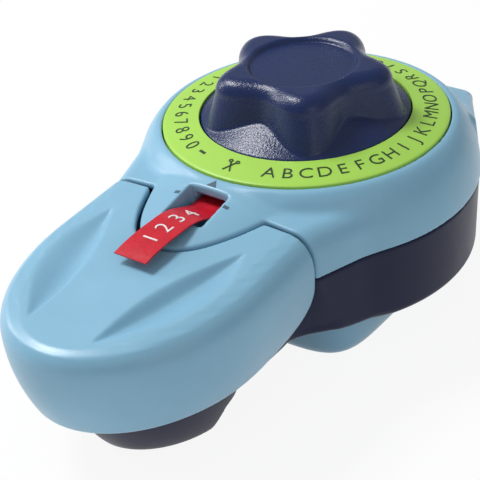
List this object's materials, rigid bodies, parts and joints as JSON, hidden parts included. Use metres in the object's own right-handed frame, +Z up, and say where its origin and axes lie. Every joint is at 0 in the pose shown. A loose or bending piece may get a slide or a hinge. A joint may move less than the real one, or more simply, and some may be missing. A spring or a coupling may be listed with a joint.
{
  "type": "embossing label maker",
  "caption": "Hand-held embossing label maker: a lobed dial with a character ring, a squeeze lever, a label window with a strip of tape, and a door under the tape reel.",
  "frame": {"origin": "under the middle of the body's box, in the plane that it rests on", "axes": "+Z up along the dial's axis, -Y to the nose of the lever, X across; X=0 is the plane of symmetry of the shells"},
  "size_m": [0.0852, 0.147, 0.0602],
  "materials": {
    "light_blue_plastic": "satin light blue, fine moulded grain",
    "navy_plastic": "satin navy",
    "knob_blue_plastic": "dark blue, fine spark-eroded speckle",
    "green_plastic": "semi-gloss yellow-green",
    "red_tape": "glossy red vinyl",
    "white_acetal": "plain moulded",
    "black_acetal": "plain moulded",
    "bright_steel": "bright zinc",
    "rubber_pad": "plain"
  },
  "bodies": {
    "body": {"lower_housing": "navy_plastic", "top_cover": "light_blue_plastic", "frame_plate": "black_acetal", "anvil_bracket": "bright_steel", "label_strip": "red_tape", "tape_web": "red_tape", "detent_spring": "bright_steel", "lever_pivot_pin": "bright_steel", "door_hinge_pin": "bright_steel", "screw_1": "bright_steel", "screw_2": "bright_steel", "screw_3": "bright_steel", "screw_4": "bright_steel", "lever_return_spring": "bright_steel", "cutter_spring": "bright_steel", "feed_axle": "bright_steel", "pinch_axle": "bright_steel"},
    "dial": {"knob": "knob_blue_plastic", "character_ring": "green_plastic", "character_disc": "black_acetal", "dial_axle": "bright_steel", "axle_clip": "bright_steel"},
    "lever": {"press_lever": "light_blue_plastic", "rocker_arm": "bright_steel"},
    "pawl": {"feed_pawl": "bright_steel"},
    "hammer": {"hammer": "bright_steel", "hammer_pad": "rubber_pad"},
    "cutter": {"cutter_blade": "bright_steel"},
    "feed": {"feed_roller": "rubber_pad", "ratchet_wheel": "white_acetal"},
    "pinch": {"pinch_roller": "white_acetal"},
    "reel": {"tape_spool": "white_acetal", "tape_roll": "red_tape"},
    "door": {"tape_door": "light_blue_plastic"}
  },
  "joints": [
    {"name": "dial_turn", "type": "hinge", "parent": "body", "child": "dial", "pos_m": [0, 0.026, 0.046], "axis": [0, 0, 1], "continuous": true},
    {"name": "lever_squeeze", "type": "hinge", "parent": "body", "child": "lever", "pos_m": [0, -0.016, 0.026], "axis": [1, 0, 0], "range_deg": [0, 6.5], "stiffness_Nm_per_rad": 0.5, "springref_deg": -5.73, "deforming": ["lever_return_spring"]},
    {"name": "pawl_pivot", "type": "hinge", "parent": "lever", "child": "pawl", "pos_m": [0, 0.0005, 0.026], "axis": [1, 0, 0], "range_deg": [0, 12], "stiffness_Nm_per_rad": 0.0002, "springref_deg": -5.73},
    {"name": "hammer_rise", "type": "slide", "parent": "body", "child": "hammer", "axis": [0, 0, 1], "range_m": [0, 0.0016]},
    {"name": "cutter_rise", "type": "slide", "parent": "body", "child": "cutter", "axis": [0, 0, 1], "range_m": [0, 0.0015], "stiffness_N_per_m": 20, "springref_m": -0.002, "deforming": ["cutter_spring"]},
    {"name": "feed_turn", "type": "hinge", "parent": "body", "child": "feed", "pos_m": [0, 0.0057, 0.03565], "axis": [1, 0, 0], "continuous": true},
    {"name": "pinch_turn", "type": "hinge", "parent": "body", "child": "pinch", "pos_m": [0, 0.01382, 0.03565], "axis": [1, 0, 0], "continuous": true},
    {"name": "reel_turn", "type": "hinge", "parent": "body", "child": "reel", "pos_m": [0, 0.02852, 0.0185], "axis": [1, 0, 0], "continuous": true},
    {"name": "door_swing", "type": "hinge", "parent": "body", "child": "door", "pos_m": [0, 0.0496, 0.0084], "axis": [1, 0, 0], "range_deg": [0, 75]}
  ],
  "couplings": [
    {"joint": "hammer_rise", "follows": "lever_squeeze", "m_per_rad": 0.0135}
  ]
}
